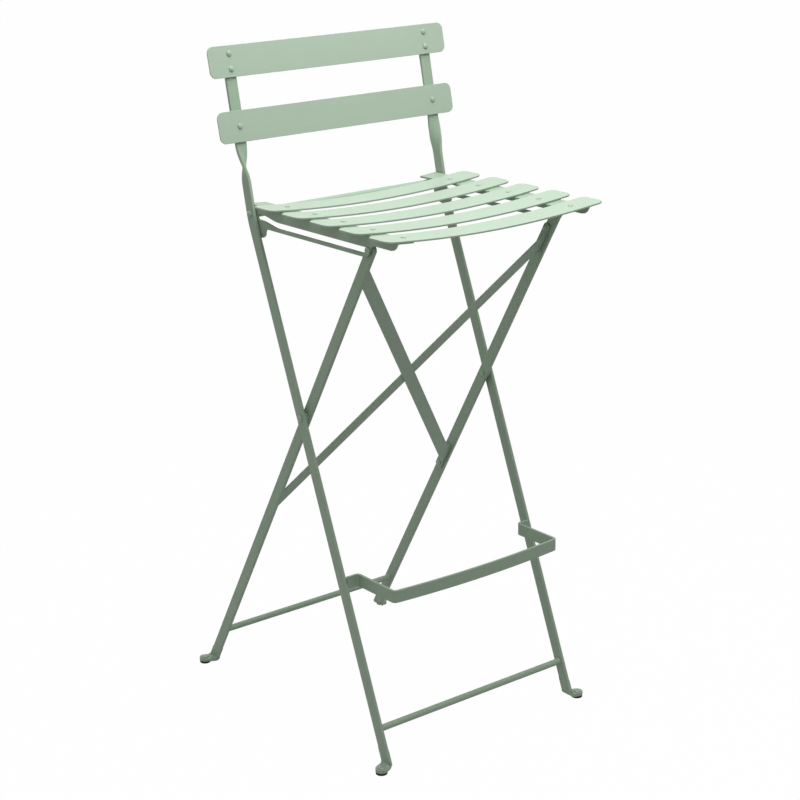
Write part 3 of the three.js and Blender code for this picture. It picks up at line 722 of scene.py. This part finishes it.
class StoolPins(bpy.types.Operator):
    """Make the rod and the pins that the stool folds on, and the spacers between the legs"""

    bl_idname = "stool.pins"
    bl_label = "Pivot rod, pins and spacers"

    def execute(self, context):
        add_pivot_rod("seat_pivot_rod", "long_frame")
        for word, side in SIDES:
            out = Vector((side, 0, 0))
            add_fastener(f"cross_pin_{word}", "long_frame", out, PIN_HEAD, PIN_SHANK, PIN_TAIL)
            add_fastener(f"slot_pin_{word}", "short_frame", -out, SLOT_PIN_HEAD, PIN_SHANK)
            add_fastener(f"slot_pin_cap_{word}", "short_frame", out, SLOT_PIN_HEAD, PIN_SHANK)
            add_rounded(f"cross_spacer_{word}", "long_frame", "fastener_paint", SPACER_ROUNDED_FROM)
        return {"FINISHED"}


class StoolFeet(bpy.types.Operator):
    """Make the rubber glides and the rivets that hold them under the feet"""

    bl_idname = "stool.feet"
    bl_label = "Glides and foot rivets"

    def execute(self, context):
        sizes = context.scene.stool_shape
        edge = sizes.glide_edge
        rim, top = edge * GLIDE_RIM_SHARE, edge * GLIDE_TOP_SHARE
        for end, body in (("front", "long_frame"), ("rear", "short_frame")):
            for word, _side in SIDES:
                node = f"{end}_glide_{word}"
                foot, height = span_along(node, UP)
                low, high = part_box(node)
                radius = (high[0] - low[0]) / 2
                profile = [(0, 0), (radius - edge, 0), (radius - rim, rim), (radius, edge),
                           (radius, height - edge), (radius - top, height), (0, height)]
                shape = placed(spun(profile, sizes.round_steps), foot, UP)
                add_piece(node, shape, body, "glide_rubber", TURNED_SHARP)
                add_fastener(f"{end}_foot_rivet_{word}", body, UP, FOOT_RIVET_HEAD, RIVET_SHANK,
                             slot_name="foot_rivet_steel")
        return {"FINISHED"}


def seen_directly(tree):
    """One where a ray comes from the camera, a mirror or glass, and nought where it carries light."""
    path = tree.nodes.new("ShaderNodeLightPath")
    seen = path.outputs["Is Camera Ray"]
    for name in ("Is Glossy Ray", "Is Transmission Ray"):
        seen = add_math(tree, "MAXIMUM", seen, path.outputs[name])
    return seen


class StoolStageMaker(bpy.types.Operator):
    """Make the pale floor, the soft lights and the camera"""

    bl_idname = "stool.stage"
    bl_label = "Floor, light and camera"

    def execute(self, context):
        stage = context.scene.stool_stage
        self.add_floor(context, stage)
        self.add_sky(context, stage)
        self.add_lamp(context, "key_light", stage.key_power, KEY_SIZE, KEY_PLACE, KEY_AIM)
        self.add_lamp(context, "side_light", stage.side_power, SIDE_SIZE, SIDE_PLACE, SIDE_AIM)
        self.add_camera(context, stage)
        context.scene.view_settings.view_transform = "Standard"
        return {"FINISHED"}

    def add_floor(self, context, stage):
        shape = bmesh.new()
        bmesh.ops.create_grid(shape, x_segments=1, y_segments=1, size=stage.floor_size / 2)
        mesh = bpy.data.meshes.new("floor")
        shape.to_mesh(mesh)
        shape.free()
        floor = bpy.data.objects.new("floor", mesh)
        context.scene.collection.objects.link(floor)
        material = bpy.data.materials.new("floor_white")
        material.use_nodes = True
        nodes, links = material.node_tree.nodes, material.node_tree.links
        shader = nodes["Principled BSDF"]
        shader.inputs["Base Color"].default_value = FLOOR_GREY
        shader.inputs["Roughness"].default_value = 1
        shader.inputs["Specular IOR Level"].default_value = 0
        glow = nodes.new("ShaderNodeEmission")
        glow.inputs["Strength"].default_value = 1
        mix = nodes.new("ShaderNodeMixShader")
        share = add_math(material.node_tree, "MULTIPLY", seen_directly(material.node_tree), FLOOR_SEEN_WHITE)
        links.new(share, mix.inputs["Fac"])
        links.new(shader.outputs["BSDF"], mix.inputs[1])
        links.new(glow.outputs["Emission"], mix.inputs[2])
        links.new(mix.outputs["Shader"], nodes["Material Output"].inputs["Surface"])
        mesh.materials.append(material)

    def add_sky(self, context, stage):
        world = bpy.data.worlds.new("plain_sky")
        world.use_nodes = True
        nodes, links = world.node_tree.nodes, world.node_tree.links
        sky = nodes["Background"]
        sky.inputs["Color"].default_value = WHITE
        sky.inputs["Strength"].default_value = stage.sky_strength
        backdrop = nodes.new("ShaderNodeBackground")
        backdrop.inputs["Strength"].default_value = 1
        backdrop.inputs["Color"].default_value = WHITE
        mix = nodes.new("ShaderNodeMixShader")
        links.new(seen_directly(world.node_tree), mix.inputs["Fac"])
        links.new(sky.outputs["Background"], mix.inputs[1])
        links.new(backdrop.outputs["Background"], mix.inputs[2])
        links.new(mix.outputs["Shader"], nodes["World Output"].inputs["Surface"])
        context.scene.world = world

    def add_lamp(self, context, name, power, size, place, aim):
        light = bpy.data.lights.new(name, "AREA")
        light.energy = power
        light.size = size
        lamp = bpy.data.objects.new(name, light)
        lamp.location = place
        lamp.rotation_euler = (Vector(aim) - Vector(place)).to_track_quat("-Z", "Y").to_euler()
        context.scene.collection.objects.link(lamp)

    def add_camera(self, context, stage):
        camera = bpy.data.cameras.new("camera")
        camera.sensor_width = SENSOR_WIDTH
        camera.lens = stage.lens
        camera.clip_end = VIEW_END
        yaw, pitch, roll = stage.camera_yaw, stage.camera_pitch, stage.camera_roll
        ahead = Vector((math.sin(yaw) * math.cos(pitch), math.cos(yaw) * math.cos(pitch), -math.sin(pitch)))
        right = Vector((math.cos(yaw), -math.sin(yaw), 0))
        down = ahead.cross(right)
        across = right * math.cos(roll) + down * math.sin(roll)
        below = down * math.cos(roll) - right * math.sin(roll)
        turn = Matrix((across, -below, -ahead)).transposed().to_4x4()
        holder = bpy.data.objects.new("camera", camera)
        holder.matrix_world = Matrix.Translation(stage.camera_place) @ turn
        context.scene.collection.objects.link(holder)
        context.scene.camera = holder


OPERATORS = (StoolLegs, StoolBraces, StoolRods, StoolRails, StoolSlats, StoolRivets, StoolPins, StoolFeet,
             StoolStageMaker)


class StoolPanel(bpy.types.Panel):
    """The stool's settings and the operators that make it."""

    bl_idname = "VIEW3D_PT_stool"
    bl_label = "Folding bar stool"
    bl_space_type = "VIEW_3D"
    bl_region_type = "UI"
    bl_category = "Stool"

    def draw(self, context):
        for settings in (context.scene.stool_paint, context.scene.stool_shape, context.scene.stool_stage):
            box = self.layout.box()
            for name in settings.__annotations__:
                box.prop(settings, name)
        for operator in OPERATORS:
            self.layout.operator(operator.bl_idname)


CLASSES = (StoolPaint, StoolShape, StoolStage, *OPERATORS, StoolPanel)


def register():
    for cls in CLASSES:
        bpy.utils.register_class(cls)
    bpy.types.Scene.stool_paint = bpy.props.PointerProperty(type=StoolPaint)
    bpy.types.Scene.stool_shape = bpy.props.PointerProperty(type=StoolShape)
    bpy.types.Scene.stool_stage = bpy.props.PointerProperty(type=StoolStage)


def unregister():
    del bpy.types.Scene.stool_stage
    del bpy.types.Scene.stool_shape
    del bpy.types.Scene.stool_paint
    for cls in reversed(CLASSES):
        bpy.utils.unregister_class(cls)


def main():
    register()
    bpy.ops.stool.legs()
    bpy.ops.stool.braces()
    bpy.ops.stool.rods()
    bpy.ops.stool.rails()
    bpy.ops.stool.slats()
    bpy.ops.stool.rivets()
    bpy.ops.stool.pins()
    bpy.ops.stool.feet()
    bpy.ops.stool.stage()


if __name__ == "__main__":
    main()
